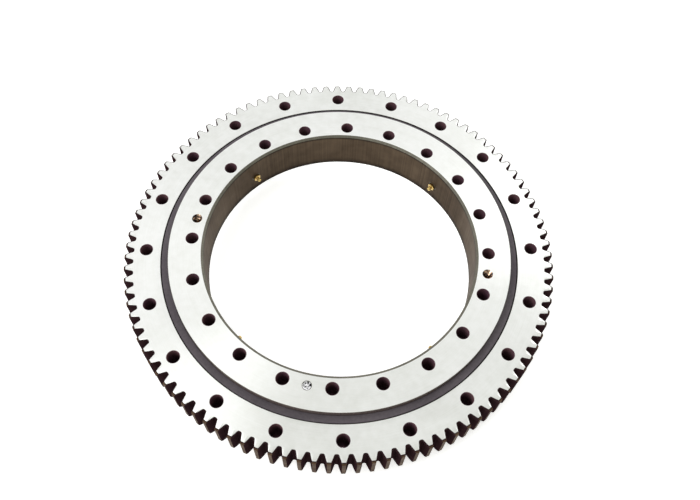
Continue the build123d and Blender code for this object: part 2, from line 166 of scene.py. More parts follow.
class FittingSizes(bpy.types.PropertyGroup):
    """Sizes of the nipples, the lifting holes, the filling plug's pin and the seals."""

    nipples: IntProperty(name="Nipples", description="In the bore", default=4, min=1)
    first_nipple: angle("First nipple", "From the inner ring's own X", 45.0)
    spotface: length("Spot face radius", "Round each nipple", 7.5)
    spotface_depth: length("Spot face depth", "Into the bore", 0.5)
    port: length("Port radius", "Of each nipple's hole", 5.0)
    flats: length("Hexagon across flats", "Of a nipple", 11.0)
    lift_drill: length(
        "Lifting hole radius", "At the thread's crests", MOUNTS["lifting_threads"]["dims"]["hole_r_mm"]
    )
    lift_root: length("Lifting thread radius", "At the thread's roots", 5.95)
    lift_pitch: length("Lifting thread pitch", "Of the M12 thread", 1.75)
    lift_depth: length("Lifting hole depth", "To the drill point", 26.0)
    lift_mouth: length("Lifting hole mouth", "Radius of its chamfer at the face", 7.5)
    plug: length("Filling hole radius", "In the bore", 17.0)
    plug_angle: angle("Filling hole's angle", "From the inner ring's own X", -99.0)
    pin: length("Pin radius", "Of the taper pin at the face", 6.0)
    pin_mouth: length("Pin hole mouth", "Radius of its chamfer at the face", 6.8)
    pin_length: length("Pin length", "Down from the face", 60.0)
    dents: IntProperty(name="Dents", description="That the punch left in the pin's end", default=11, min=1)
    dent: length("Dent radius", "Of each dent", 2.1)
    dent_depth: length("Dent depth", "At its middle", 0.55)
    seam: angle("Seal splice", "Where the seal's ends are joined, from the inner ring's own X", -44.0)


class RingColours(bpy.types.PropertyGroup):
    """The two colours that each finish runs between."""

    face_light: colour("Ground face, light", "Ground top and bottom faces", 0.97, 0.98, 0.965)
    face_dark: colour("Ground face, dark", "Grinding marks and thin oil", 0.84, 0.85, 0.815)
    edge_light: colour("Filed edge, light", "Chamfers of the bore and the tooth tips", 0.20, 0.19, 0.152)
    edge_dark: colour("Filed edge, dark", "Chamfers of the bore and the tooth tips", 0.085, 0.078, 0.060)
    # The flank and tip colours are partly the teeth's own oiled tone and partly painted dark reflection:
    # turned steel walls reflect dark surroundings, and these dark colours stand in for that.
    flank_light: colour("Tooth flank, light", "Oiled flanks", 0.048, 0.024, 0.026)
    flank_dark: colour("Tooth flank, dark", "Oiled flanks", 0.014, 0.006, 0.009)
    tip_light: colour("Tip land, light", "Turned tips of the teeth", 0.125, 0.08, 0.05)
    tip_dark: colour("Tip land, dark", "Turned tips of the teeth", 0.03, 0.015, 0.01)
    bore_light: colour("Bore, light", "Turned bore", 0.118, 0.082, 0.052)
    bore_dark: colour("Bore, dark", "Turned bore", 0.040, 0.026, 0.016)
    # Painted shade: the bolt hole colours are dark for the shade inside the deep holes, over the drilled
    # steel's own duller tone.
    hole_light: colour("Bolt hole, light", "Drilled holes", 0.19, 0.10, 0.105)
    hole_dark: colour("Bolt hole, dark", "Drilled holes", 0.085, 0.04, 0.07)
    # The lifting thread's copper tone is a painted warm reflection, and its near black is painted shade
    # inside the tapped hole.
    thread_light: colour("Lifting thread, light", "Tapped holes and their mouths", 0.62, 0.42, 0.29)
    thread_dark: colour("Lifting thread, dark", "Tapped holes and their mouths", 0.01, 0.005, 0.01)
    # Painted shade: the step wall's colours are dark for the shadow that the wall stands in above the seal.
    step_shade_light: colour("Step wall, light", "Turned wall above the seal", 0.15, 0.115, 0.108)
    step_shade_dark: colour("Step wall, dark", "Turned wall above the seal", 0.08, 0.058, 0.06)
    # Painted sheen: the seal's colours are grey, though the rubber is black, for the sheen on it.
    seal_light: colour("Seal, light", "Moulded rubber", 0.135, 0.116, 0.13)
    seal_dark: colour("Seal, dark", "Moulded rubber", 0.076, 0.065, 0.076)
    # The pin end's two colours, kept far apart, are painted glints and painted shade on its punched facets.
    pin_light: colour("Pin end, light", "Punched end of the taper pin", 0.86, 0.86, 0.88)
    pin_dark: colour("Pin end, dark", "Punched end of the taper pin", 0.004, 0.003, 0.005)
    brass_light: colour("Brass, light", "Turned brass", 0.95, 0.74, 0.30)
    # Brass, dark is also the colour of the painted shade on the nipples next to the bore wall.
    brass_dark: colour("Brass, dark", "Tarnished brass", 0.30, 0.16, 0.04)


# ---------------------------------------------------------------- surfaces

def lattice(rows, columns, wrap=True):
    """Corner numbers of the quads between neighbouring rows and columns of a grid of points.

    The quad at (row, column) has its corners there, one column on, one row and column on, and one row on,
    so it faces (along the row) x (to the next row). With wrap the last column joins the first.
    """
    row, column = np.meshgrid(np.arange(rows - 1), np.arange(columns - (not wrap)), indexing="ij")
    beside = (column + 1) % columns
    corners = (row * columns + column, row * columns + beside,
               (row + 1) * columns + beside, (row + 1) * columns + column)
    return np.stack(corners, axis=-1).reshape(-1, 4)


def polar(radius, turn, height):
    """Points at a radius and angle from the Z axis and at a height, as one array."""
    radius, turn, height = np.broadcast_arrays(radius, turn, height)
    return np.stack((radius * np.cos(turn), radius * np.sin(turn), height), axis=-1).astype(float)


def turned_by(points, turn):
    """The same points, turned about Z."""
    spin = np.array(((cos(turn), -sin(turn), 0), (sin(turn), cos(turn), 0), (0, 0, 1)))
    return points @ spin.T


class Skin:
    """Grids of points that together make one closed surface, with a finish for each quad."""

    def __init__(self):
        self.points, self.quads, self.finishes, self.count = [], [], [], 0

    def grid(self, points, finishes, wrap=True, turns=(0.0,)):
        """Adds a grid of points, rows by columns, once at each turn about Z.

        The finishes are one number for all quads, one for each gap between rows, or one for each quad.
        """
        rows, columns = points.shape[:2]
        quads = lattice(rows, columns, wrap)
        across = len(quads) // (rows - 1)
        finishes = np.asarray(finishes)
        if finishes.ndim == 1:
            finishes = finishes[:, None]
        finishes = np.broadcast_to(finishes, (rows - 1, across)).reshape(-1)
        flat = points.reshape(-1, 3)
        for turn in turns:
            self.points.append(turned_by(flat, turn))
            self.quads.append(quads + self.count)
            self.finishes.append(finishes)
            self.count += len(flat)

    def mesh(self, name, turn=0.0):
        """One mesh of all the grids, with points closer than a micrometre made one.

        A quad with two equal neighbouring corners becomes a triangle, and one with more is dropped. The
        surface is closed when each side of each face is shared with one other face, run the other way.
        """
        points = np.concatenate(self.points)
        keys, where = np.unique(np.round(points * 1e6).astype(np.int64), axis=0, return_inverse=True)
        quads, finishes = where.reshape(-1)[np.concatenate(self.quads)], np.concatenate(self.finishes)
        place = np.zeros((len(keys), 3))
        place[where.reshape(-1)] = points
        same = quads == np.roll(quads, -1, axis=1)
        lone = (same.sum(1) == 0) & (quads[:, 0] != quads[:, 2]) & (quads[:, 1] != quads[:, 3])
        thin = same.sum(1) == 1
        skip = np.argmax(same[thin], axis=1)[:, None]
        thirds = np.take_along_axis(quads[thin], (skip + np.arange(1, 4)) % 4, axis=1)
        whole = np.all(thirds != np.roll(thirds, -1, axis=1), axis=1)
        thirds = thirds[whole]
        check_closed(name, quads[lone], thirds, len(keys))
        made = bpy.data.meshes.new(name)
        made.from_pydata(turned_by(place, turn).tolist(), [], quads[lone].tolist() + thirds.tolist())
        made.polygons.foreach_set(
            "material_index", np.concatenate((finishes[lone], finishes[thin][whole])).astype(np.int32)
        )
        made.polygons.foreach_set("use_smooth", np.ones(len(made.polygons), bool))
        made.set_sharp_from_angle(angle=SHARP_ANGLE)
        made.update()
        return made


def check_closed(name, quads, thirds, count):
    """Stops the script if a side of a face isn't shared with just one other face, run the other way."""
    sides = [np.stack((f, np.roll(f, -1, axis=1)), axis=-1).reshape(-1, 2) for f in (quads, thirds)]
    sides = np.concatenate(sides)
    there = np.sort(sides[:, 0] * count + sides[:, 1])
    back = np.sort(sides[:, 1] * count + sides[:, 0])
    if np.any(there[1:] == there[:-1]) or np.any(there != back):
        odd = np.setxor1d(there, back)
        raise RuntimeError(f"the surface of {name} isn't closed: {len(odd)} odd sides")


def finish_piece(name, skin, materials, body, replaces=(), turn=0.0):
    """Makes the object of a skin at the origin, gives it its finishes and puts it on its body."""
    mesh = skin.mesh(name, turn)
    for material in materials:
        mesh.materials.append(material)
    piece = bpy.data.objects.new(name, mesh)
    bpy.context.scene.collection.objects.link(piece)
    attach(piece, body)
    if replaces:
        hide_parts(*replaces)
    return piece


def circle_row(radius, height, columns=RING_COLUMNS, start=0.0):
    """A level circle of evenly spaced points."""
    return polar(radius, start + 2 * pi * np.arange(columns) / columns, height)


def sector_loop(half, near, far, height, near_parts, far_parts, side_parts):
    """The outline of a flat ring sector about X, anticlockwise from above, each stretch evenly divided.

    It runs out along the far arc, in along the left side, back along the near arc and out again.
    """
    far_arc = polar(far, -half + 2 * half * np.arange(far_parts) / far_parts, height)
    near_arc = polar(near, half - 2 * half * np.arange(near_parts) / near_parts, height)
    part = np.arange(side_parts) / side_parts
    inwards = polar(far + (near - far) * part, half, height)
    outwards = polar(near + (far - near) * part, -half, height)
    return np.concatenate((far_arc, inwards, near_arc, outwards))


def hole_rows(loop, centre, levels):
    """Level circles about a point on X, each point in the direction of the loop's own point from it."""
    way = np.arctan2(loop[:, 1], loop[:, 0] - centre)
    return [
        np.stack((centre + rho * np.cos(way), rho * np.sin(way), np.full(len(way), z)), axis=-1)
        for rho, z in levels
    ]


def ball_plane(sizes):
    """Height of the balls' centres, which is that of the nipples too."""
    return (sizes.height + sizes.step) / 2


def raceway_profile(sizes, wall, side, steps=14):
    """The raceway's edge on one ring's wall, from its low edge up to its high edge, as (radius, height).

    Two arcs meet in a point on the ball plane; each is centred an offset past the ball's centre, away from
    the arc, along the contact line. A short chamfer joins each end to the wall. The side is 1 on the outer
    ring and -1 on the inner.
    """
    plane = ball_plane(sizes)
    shift = sizes.race_offset / sqrt(2)
    edge = sqrt(sizes.race**2 - (sizes.gap / 2 + shift) ** 2) - shift
    within = sizes.gap / 2 + sizes.race_chamfer
    low = asin((sqrt(sizes.race**2 - (within + shift) ** 2)) / sizes.race)
    high = asin(shift / sizes.race)
    way = low + (high - low) * np.arange(steps + 1) / steps
    out, up = sizes.race * np.cos(way) - shift, sizes.race * np.sin(way) - shift
    radius = np.concatenate(((sizes.gap / 2, within), out, out[-2::-1], (within, sizes.gap / 2)))
    bevel = edge + sizes.race_chamfer
    height = np.concatenate(((-bevel, -edge), -up, up[-2::-1], (edge, bevel)))
    return [(sizes.circle + side * r, plane + h) for r, h in zip(radius, height)]


def turned_rows(profile):
    """A surface of revolution: each (radius, height) of the profile carried round the axis."""
    return np.stack([circle_row(r, z) for r, z in profile])


# ---------------------------------------------------------------- gear

def involute_half_angle(gear, radius):
    """Half the angle that a tooth spans at a radius, in radians.

    That is half the tooth's angle at the pitch circle, plus the involute of the pressure angle, less the
    involute of the angle at this radius. The involute of an angle is its tangent less the angle itself.
    """
    base = gear.module * gear.teeth / 2 * cos(gear.pressure)
    slope = tan(gear.pressure)
    half = (pi / 2 + 2 * gear.shift * slope) / gear.teeth
    run = np.sqrt((np.asarray(radius) / base) ** 2 - 1)
    return half + slope - gear.pressure - (run - np.arctan(run))


def fillet_centre(gear, radius):
    """Centre of the root fillet that touches a flank at a radius, for a tooth on X."""
    base = gear.module * gear.teeth / 2 * cos(gear.pressure)
    turn = float(involute_half_angle(gear, radius))
    lean = turn - atan2(sqrt(radius**2 - base**2), base)
    return (
        radius * cos(turn) - gear.fillet * sin(lean),
        radius * sin(turn) + gear.fillet * cos(lean),
    )


def gear_radii(gear):
    """Radii of the roots, of the chamfered tips' edge at the face, and of the tips."""
    pitch = gear.module * gear.teeth / 2
    root = pitch - gear.module * (gear.dedendum - gear.shift)
    tip = pitch + gear.module * (gear.addendum + gear.shift)
    return root, tip - gear.chamfer, tip


def half_tooth(gear):
    """Radii and angles of half a tooth from its middle, over the tip, down the flank, to the gap's middle.

    The fillet leaves the flank where its centre is a fillet radius above the root circle.
    """
    root, shoulder, tip = gear_radii(gear)
    low, high = root, root + 2 * gear.fillet
    for _ in range(50):
        start = (low + high) / 2
        if hypot(*fillet_centre(gear, start)) < root + gear.fillet:
            low = start
        else:
            high = start
    centre = fillet_centre(gear, start)
    turn = float(involute_half_angle(gear, start))
    first = atan2(start * sin(turn) - centre[1], start * cos(turn) - centre[0])
    last = atan2(-centre[1], -centre[0])
    bend = first + (last - first + (2 * pi if last < first - pi else 0)) * np.array((1, 2, 3)) / 3
    fillet_x, fillet_y = centre[0] + gear.fillet * np.cos(bend), centre[1] + gear.fillet * np.sin(bend)
    fall = shoulder - start
    flank = np.array((tip, shoulder, shoulder - 0.3 * fall, shoulder - 0.65 * fall, start))
    over_tip = float(involute_half_angle(gear, tip))
    radius = np.concatenate(((tip, tip), flank, np.hypot(fillet_x, fillet_y), (root,)))
    angles = np.concatenate((
        (0.0, over_tip / 2), involute_half_angle(gear, flank), np.arctan2(fillet_y, fillet_x),
        (pi / gear.teeth,),
    ))
    return radius, angles


def gear_outline(gear):
    """Radius and angle of every point round the gear: each tooth is the half tooth and its mirror image."""
    radius, turn = half_tooth(gear)
    radius = np.concatenate((radius, radius[-2:0:-1]))
    turn = np.concatenate((turn, 2 * pi / gear.teeth - turn[-2:0:-1]))
    middles = gear.first + 2 * pi * np.arange(gear.teeth) / gear.teeth
    return np.tile(radius, gear.teeth), (middles[:, None] + turn[None, :]).reshape(-1)


def moved_in(outline, distance):
    """A closed level outline moved inwards, each point along the outline's normal there.

    The normal is at a right angle to the line between the point's two neighbours.
    """
    along = np.roll(outline, -1, axis=0) - np.roll(outline, 1, axis=0)
    along /= np.linalg.norm(along, axis=1, keepdims=True)
    return outline + distance * np.stack((-along[:, 1], along[:, 0], 0 * along[:, 0]), axis=-1)


def gear_ring_skin(sizes, gear):
    """The geared outer ring: its toothed outside, its gap side and its faces with their bolt holes."""
    skin = Skin()
    radius, turn = gear_outline(gear)
    columns, sectors = len(radius), sizes.holes
    step = 2 * pi / sectors
    shift = int(round((-step / 2 - gear.first) / (2 * pi / columns)))
    radius, turn = np.roll(radius, -shift), np.roll(turn, -shift)
    root, shoulder, tip = gear_radii(gear)
    top, low = sizes.height, sizes.height - gear.width
    land = root - 1.5 * MM
    cut = np.maximum(radius - shoulder, 0)
    inside = np.minimum(radius, shoulder)

    def plain(at_radius, height):
        return circle_row(at_radius, height, columns, -step / 2)

    burr = gear.burr / 2
    rows = [
        plain(gear.rim - gear.rim_chamfer, 0),
        plain(gear.rim, gear.rim_chamfer),
        plain(gear.rim, low),
        polar(inside, turn, low),
        polar(radius, turn, low + cut),
        polar(radius, turn, top - burr - cut),
        polar(inside, turn, top - burr),
        moved_in(polar(inside, turn, top), gear.burr),
        plain(land, top),
    ]
    on_tip = (radius > tip - 1e-6) & (np.roll(radius, -1) > tip - 1e-6)
    bands = [FACE_EDGE, RIM, FLANK, FACE_EDGE, None, TIP, FLANK, FACE]
    finishes = np.array([np.where(on_tip, TIP, FLANK) if b is None else np.full(columns, b) for b in bands])
    skin.grid(np.stack(rows), finishes)

    wall, far = sizes.circle + sizes.gap / 2, sizes.circle + sizes.gap / 2 + sizes.recess_width
    groove = sizes.step + sizes.groove_below
    deep = wall + sizes.groove_depth
    edge = sizes.face_chamfer
    profile = [
        (wall + edge, 0), (wall, edge), (wall, groove), (deep, groove), (deep, groove + sizes.groove_width),
        (wall, groove + sizes.groove_width), *raceway_profile(sizes, wall, 1),
        (wall, top - sizes.recess_depth), (far, top - sizes.recess_depth), (far, top - edge),
        (far + edge, top),
    ]
    bands = [FACE_EDGE] + [RECESS] * 5 + [FACE_EDGE]
    bands += [RACE] * (len(profile) - 13) + [FACE_EDGE] + [RECESS] * 3 + [FACE_EDGE]
    skin.grid(turned_rows(profile)[::-1], bands[::-1])

    near_parts, far_parts = RING_COLUMNS // sectors, columns // sectors
    upper = sector_loop(step / 2, far + edge, land, top, near_parts, far_parts, 12)
    under = sector_loop(step / 2, wall + edge, gear.rim - gear.rim_chamfer, 0, near_parts, far_parts, 12)
    skin.grid(
        bolt_sector(sizes, upper, under, sizes.outer_bolts), HOLED_BANDS, turns=step * np.arange(sectors)
    )
    return skin


def bolt_sector(sizes, upper, under, bolts):
    """A ring sector with a chamfered through hole: from the upper outline in, down the hole and out."""
    top, low = upper[0, 2], under[0, 2]
    wide, deep = sizes.hole + sizes.hole_chamfer, sizes.hole_chamfer
    levels = [(wide, top), (sizes.hole, top - deep), (sizes.hole, low + deep), (wide, low)]
    return np.stack([upper, *hole_rows(upper, bolts, levels), under])


# ---------------------------------------------------------------- inner ring

def bore_loop(half, radius, low, top, arc_parts, side_parts):
    """The outline of a patch of bore wall about X, as (angle, height), right way round for a bore."""
    arc, side = 2 * half * np.arange(arc_parts) / arc_parts, np.arange(side_parts) / side_parts
    turn = np.concatenate((arc - half, np.full(side_parts, half), half - arc, np.full(side_parts, -half)))
    height = np.concatenate((
        np.full(arc_parts, top), top + (low - top) * side, np.full(arc_parts, low), low + (top - low) * side
    ))
    return turn, height


def bore_patch(sizes, loop, centre_height, rho, inner_levels, rings):
    """A patch of bore wall with a level round hole in it, from its outline in to the hole and down it.

    A point of the hole's edge lies on both cylinders: its distance sideways is the hole's radius times the
    cosine of its direction, and its angle is the arcsine of that over the bore's radius.
    """
    turn, height = loop
    way = np.arctan2(height - centre_height, turn * sizes.bore)
    edge_turn = np.arcsin(rho * np.cos(way) / sizes.bore)
    edge_height = centre_height + rho * np.sin(way)
    rows = []
    for part in np.arange(rings + 1) / rings:
        level = height + (edge_height - height) * part
        rows.append(polar(sizes.bore, turn + (edge_turn - turn) * part, level))
    for level_rho, out in inner_levels:
        rows.append(np.stack((
            np.full(len(way), out), level_rho * np.cos(way), centre_height + level_rho * np.sin(way)
        ), axis=-1))
    return np.stack(rows)


def bore_ring_skin(sizes, fittings):
    """The inner ring in its own axes: bore with ports, gap side, and faces with their holes."""
    skin = Skin()
    low, top = sizes.step, sizes.step + sizes.height
    near, edge = sizes.bore + sizes.bore_chamfer, sizes.face_chamfer
    wall = sizes.circle - sizes.gap / 2
    far = wall - sizes.recess_width
    groove = sizes.height - sizes.groove_below
    deep = wall - sizes.groove_depth
    profile = [
        (far - edge, low), (far, low + edge), (far, low + sizes.recess_depth),
        (wall, low + sizes.recess_depth),
        *raceway_profile(sizes, wall, -1),
        (wall, groove - sizes.groove_width), (deep, groove - sizes.groove_width), (deep, groove),
        (wall, groove), (wall, top - edge), (wall - edge, top),
    ]
    bands = [FACE_EDGE, RECESS, RECESS, FACE_EDGE] + [RACE] * (len(profile) - 11) + [FACE_EDGE]
    bands += [RECESS] * 3 + [STEP, FACE_EDGE]
    skin.grid(turned_rows(profile), bands)

    bolt_step = 2 * pi / sizes.holes
    half = bolt_step / 4
    parts = RING_COLUMNS // (2 * sizes.holes)
    upper = sector_loop(half, near, wall - edge, top, parts, parts, 24)
    under = sector_loop(half, near, far - edge, low, parts, parts, 24)
    drilled = bolt_sector(sizes, upper, under, sizes.inner_bolts)
    skin.grid(drilled, HOLED_BANDS, turns=bolt_step * np.arange(sizes.holes))
    between = bolt_step * (np.arange(sizes.holes) + 0.5)
    lifts = [nearest_number(between, fittings.plug_angle + pi / 2 * side) for side in (1, -1)]
    pin = nearest_number(between, fittings.plug_angle)
    plain = np.delete(between, [*lifts, pin])
    middle = [np.broadcast_to((sizes.inner_bolts, 0, height), upper.shape) for height in (top, low)]
    skin.grid(np.stack((upper, middle[0])), FACE, turns=plain)
    skin.grid(np.stack((middle[1], under)), FACE, turns=between)
    skin.grid(lifting_sector(sizes, fittings, upper), lifting_bands(fittings), turns=between[lifts])
    fit, below = 0.02 * MM, top - fittings.pin_length - 2 * MM
    taper = [(fittings.pin_mouth, top), (fittings.pin + fit, top - (fittings.pin_mouth - fittings.pin)),
             (fittings.pin + fit - (top - below) / 100, below), (0.0, below)]
    skin.grid(np.stack([upper, *hole_rows(upper, sizes.inner_bolts, taper)]),
              [FACE, FACE_EDGE, HOLE, HOLE], turns=[between[pin]])

    mouth, base = top - sizes.bore_chamfer_depth, low + sizes.bore_chamfer_depth
    skin.grid(turned_rows([(near, top), (sizes.bore, mouth)]), FACE_EDGE)
    skin.grid(turned_rows([(sizes.bore, base), (near, low)]), FACE_EDGE)
    half = bolt_step / 2
    parts = RING_COLUMNS // sizes.holes
    loop = bore_loop(half, sizes.bore, base, mouth, parts, 12)
    ports = [nearest_number(between, fittings.first_nipple + 2 * pi * k / fittings.nipples)
             for k in range(fittings.nipples)]
    plane = ball_plane(sizes)
    seat = sizes.bore + fittings.spotface_depth
    port = [(fittings.spotface, seat), (fittings.port, seat), (fittings.port, seat + PORT_DEPTH),
            (0.0, seat + PORT_DEPTH)]
    rings = 8
    skin.grid(bore_patch(sizes, loop, plane, fittings.spotface, port, rings),
              [BORE] * rings + [HOLE, FACE_EDGE, HOLE, HOLE], turns=between[ports])
    behind = sizes.bore + PLUG_RECESS
    recess = [(fittings.plug, behind), (0.0, behind)]
    skin.grid(bore_patch(sizes, loop, plane, fittings.plug, recess, rings),
              [BORE] * rings + [HOLE, HOLE], turns=[between[pin]])
    turns = half * (2 * np.arange(parts + 1) / parts - 1)
    heights = mouth + (base - mouth) * np.arange(13) / 12
    patch = polar(sizes.bore, turns[None, :], heights[:, None])
    skin.grid(patch, BORE, wrap=False, turns=np.delete(between, [*ports, pin]))
    return skin


def nearest_number(angles, wanted):
    """Number of the angle that is nearest to the wanted one, going round."""
    return int(np.argmin(np.abs(np.angle(np.exp(1j * (angles - wanted))))))


def lifting_levels(fittings):
    """Number of rows along the lifting thread: twelve for each turn of it."""
    run = fittings.lift_depth - (fittings.lift_mouth - fittings.lift_drill)
    return int(round(12 * run / fittings.lift_pitch))


def lifting_bands(fittings):
    """Finishes down a lifting hole."""
    return [FACE] + [THREAD] * (lifting_levels(fittings) + 2)


def lifting_sector(sizes, fittings, upper):
    """A ring sector with a blind tapped hole: mouth chamfer, thread and drill point.

    The thread's radius at a direction and depth is the crest radius plus the thread's depth times half of
    one less the cosine of a whole turn times (depth over pitch less direction over a whole turn). It fades
    in and out.
    """
    top = upper[0, 2]
    centre = sizes.inner_bolts
    way = np.arctan2(upper[:, 1], upper[:, 0] - centre)
    crest, root = fittings.lift_drill, fittings.lift_root
    first = top - (fittings.lift_mouth - crest)
    count = lifting_levels(fittings)
    run = fittings.lift_depth - (top - first)
    depth = run * np.arange(count + 1)[:, None] / count
    turns = depth / fittings.lift_pitch - way[None, :] / (2 * pi)
    wave = 0.5 - 0.5 * np.cos(2 * pi * turns)
    fade = np.clip(np.minimum(depth / fittings.lift_pitch, (run - depth) / (2 * fittings.lift_pitch)), 0, 1)
    rho = crest + (root - crest) * wave * fade
    fallen = np.broadcast_to(first - depth, rho.shape)
    thread = np.stack((centre + rho * np.cos(way), rho * np.sin(way), fallen), axis=-1)
    mouth = hole_rows(upper, centre, [(fittings.lift_mouth, top)])
    point = hole_rows(upper, centre, [(0.0, first - run - crest * 0.6)])
    return np.concatenate((np.stack([upper, *mouth]), thread, np.stack(point)))


# ---------------------------------------------------------------- seals

def rounded(profile, radius, steps=4):
    """A closed outline with each corner replaced by a short curve.

    The curve is the quadratic Bezier of the corner and the points a radius, or at most 0.45 of a side,
    before and after it.
    """
    corner = np.array(profile)
    before, after = np.roll(corner, 1, axis=0) - corner, np.roll(corner, -1, axis=0) - corner
    start, end = [
        corner + side * (np.minimum(radius, 0.45 * reach) / reach)
        for side in (before, after)
        for reach in (np.linalg.norm(side, axis=1, keepdims=True),)
    ]
    part = (np.arange(steps + 1) / steps)[None, :, None]
    start, corner, end = start[:, None], corner[:, None], end[:, None]
    curve = (1 - part) ** 2 * start + 2 * part * (1 - part) * corner + part**2 * end
    return curve.reshape(-1, 2)


def seal_profile(sizes):
    """The top seal's section: a tongue in the inner ring's groove, a body, and a lip that points down."""
    fit, edge, lip = 0.2 * MM, 1.0 * MM, 1.2 * MM
    wall, top = sizes.circle - sizes.gap / 2, sizes.height - 0.5 * MM
    tongue, near = wall - sizes.groove_depth + fit, wall + fit
    far = near + 10.7 * MM
    high = sizes.height - sizes.groove_below - fit
    low = high - sizes.groove_width + 2 * fit
    under = sizes.height - 7 * MM
    relief, width = 1.6 * MM, 2.6 * MM
    reach = sizes.height - sizes.recess_depth + 0.3 * MM
    return [
        (tongue, low), (near, low), (near, under), (far - lip - width - relief, under),
        (far - lip - width, under + relief), (far - lip - relief, under + relief), (far - lip, reach),
        (far, reach), (far, top - edge), (far - edge / 2, top), (near + edge / 3, top),
        (near, top - edge / 3), (near, high), (tongue, high),
    ]


def seal_skin(profile, seam):
    """A closed ring of rubber with a splice: the section carried round the axis.

    Across the splice the section shrinks towards its middle by a bell curve of the angle from it.
    """
    outline = rounded(profile, 0.35 * MM)
    spread = radians(0.10)
    even = 2 * pi * np.arange(RING_COLUMNS) / RING_COLUMNS
    even = even[np.abs(np.angle(np.exp(1j * (even - seam)))) > 4.5 * spread]
    turn = np.sort(np.concatenate((even, (seam + spread * np.linspace(-4, 4, 25)) % (2 * pi))))
    away = np.angle(np.exp(1j * (turn - seam)))
    pinch = 1 - 0.05 * np.exp(-((away / spread) ** 2))
    middle = outline.mean(axis=0)
    section = middle + (outline[:, None, :] - middle) * pinch[None, :, None]
    rows = polar(section[..., 0], turn[None, :], section[..., 1])
    skin = Skin()
    skin.grid(np.concatenate((rows, rows[:1])), 0)
    return skin


# ---------------------------------------------------------------- pin, nipples and springs

def pin_rows(sizes, fittings, columns=72, rings=16):
    """The taper pin about X, from its lower end up: a side that tapers one in fifty, and its punched end.

    The end is lowered by the deepest dent at each place. A dent is a paraboloid, and the dents' middles lie
    on a sunflower spiral: each is a golden angle on, and its distance grows as the root of its number.
    """
    way = 2 * pi * np.arange(columns) / columns
    top = sizes.height + sizes.step - PIN_SUNK
    number = np.arange(fittings.dents)
    reach = 0.85 * fittings.pin * np.sqrt((number + 0.5) / fittings.dents)
    middles = reach * np.exp(1j * pi * (3 - sqrt(5)) * number)
    rho = fittings.pin * (1 - np.arange(rings + 1)[:, None] / rings)
    away = np.abs((rho * np.exp(1j * way))[..., None] - middles) / fittings.dent
    height = top - fittings.dent_depth * np.clip(1 - away**2, 0, None).max(axis=-1)
    height[-1] = height[-1].mean()
    narrow, below = fittings.pin - fittings.pin_length / 100, top - fittings.pin_length
    radius = np.concatenate(([[0.0]], [[narrow]], rho)) + 0 * way
    height = np.concatenate((np.full((2, columns), below), height))
    return np.stack((sizes.inner_bolts + radius * np.cos(way), radius * np.sin(way), height), axis=-1)


def laid_in_bore(sizes, fittings, points):
    """Points drawn along +Z from a seat, laid level on the spot face with +Z towards the ring's axis."""
    plane = ball_plane(sizes)
    seat = sizes.bore + fittings.spotface_depth
    return np.stack((seat - points[..., 2], points[..., 1], plane + points[..., 0]), axis=-1)


def nipple_rows(fittings, columns=96):
    """One nipple along +Z: thread, hexagon, neck and head outside, and the spring's bore inside.

    A row's radius is the hexagon's radius at each direction, half its width across flats over the cosine
    of the direction from the nearest flat's middle, or the turned corner's radius where that is less.
    """
    way = 2 * pi * np.arange(columns) / columns
    flat = np.mod(way, pi / 3) - pi / 6
    hexagon = fittings.flats / 2 / np.cos(flat)
    corner = 6.1
    outside = [(1.0, -8.0), (3.97, -8.0), (4.97, -7.0), (4.97, -0.1), (4.97, 0.0)]
    hexes = [(corner - 0.5, 0.0), (corner, 0.3), (corner, 3.4)]
    hexes += [(corner - 2 * rise, 3.4 + rise) for rise in (0.1, 0.2, 0.3, 0.4, 0.5, 0.6)]
    above = [(3.1, 4.0), (2.65, 4.15), (2.5, 4.5), (2.5, 6.0), (2.62, 6.2), (3.22, 7.05), (3.3, 7.25),
             (3.3, 7.9), (3.2, 8.1), (2.2, 9.85), (1.9, 10.0), (1.25, 10.0), (1.0, 9.9)]
    inside = [(1.0, 9.65), (1.8, 7.72), (1.8, -7.1), (1.0, -7.1), (1.0, -8.0)]
    rows = [polar(r * MM, way, z * MM) for r, z in outside]
    rows += [polar(np.minimum(hexagon, r * MM), way, z * MM) for r, z in hexes]
    rows += [polar(r * MM, way, z * MM) for r, z in above + inside]
    return np.stack(rows)


def spring_rows(columns=10):
    """A coil spring along +Z under the check ball: a round wire carried along a helix, its ends closed.

    The wire's section turns in the plane of the outward direction and the helix's second normal.
    """
    low, high, radius, wire, turns = -6.85 * MM, 6.548 * MM, 1.3 * MM, 0.2 * MM, 7
    along = np.arange(turns * 24 + 1) / 24
    way, rise = 2 * pi * along, (high - low) / turns
    out = np.stack((np.cos(way), np.sin(way), np.zeros(len(way))), axis=-1)
    lead = rise / (2 * pi)
    forward = np.stack((-radius * np.sin(way), radius * np.cos(way), np.full(len(way), lead)), axis=-1)
    forward /= np.linalg.norm(forward, axis=1, keepdims=True)
    second = np.cross(out, forward)
    centre = radius * out + np.stack((0 * along, 0 * along, low + rise * along), axis=-1)
    face = 2 * pi * np.arange(columns) / columns
    ring = out[:, None] * np.cos(face)[None, :, None] + second[:, None] * np.sin(face)[None, :, None]
    tube = centre[:, None] + wire * ring
    ends = [np.broadcast_to(centre[n], (1, columns, 3)) for n in (0, -1)]
    return np.concatenate((ends[0], tube, ends[1]))


# ---------------------------------------------------------------- node tools

def add(tree, kind, inputs=None, **settings):
    """A node in a tree, with its settings, and its inputs linked to sockets or set to values."""
    node = tree.nodes.new(kind)
    for key, value in settings.items():
        setattr(node, key, value)
    for key, value in (inputs or {}).items():
        if isinstance(value, bpy.types.NodeSocket):
            tree.links.new(value, node.inputs[key])
        else:
            node.inputs[key].default_value = value
    return node


def maths(tree, operation, *values):
    """The result of a maths node on values or sockets."""
    return add(tree, "ShaderNodeMath", dict(enumerate(values)), operation=operation).outputs[0]


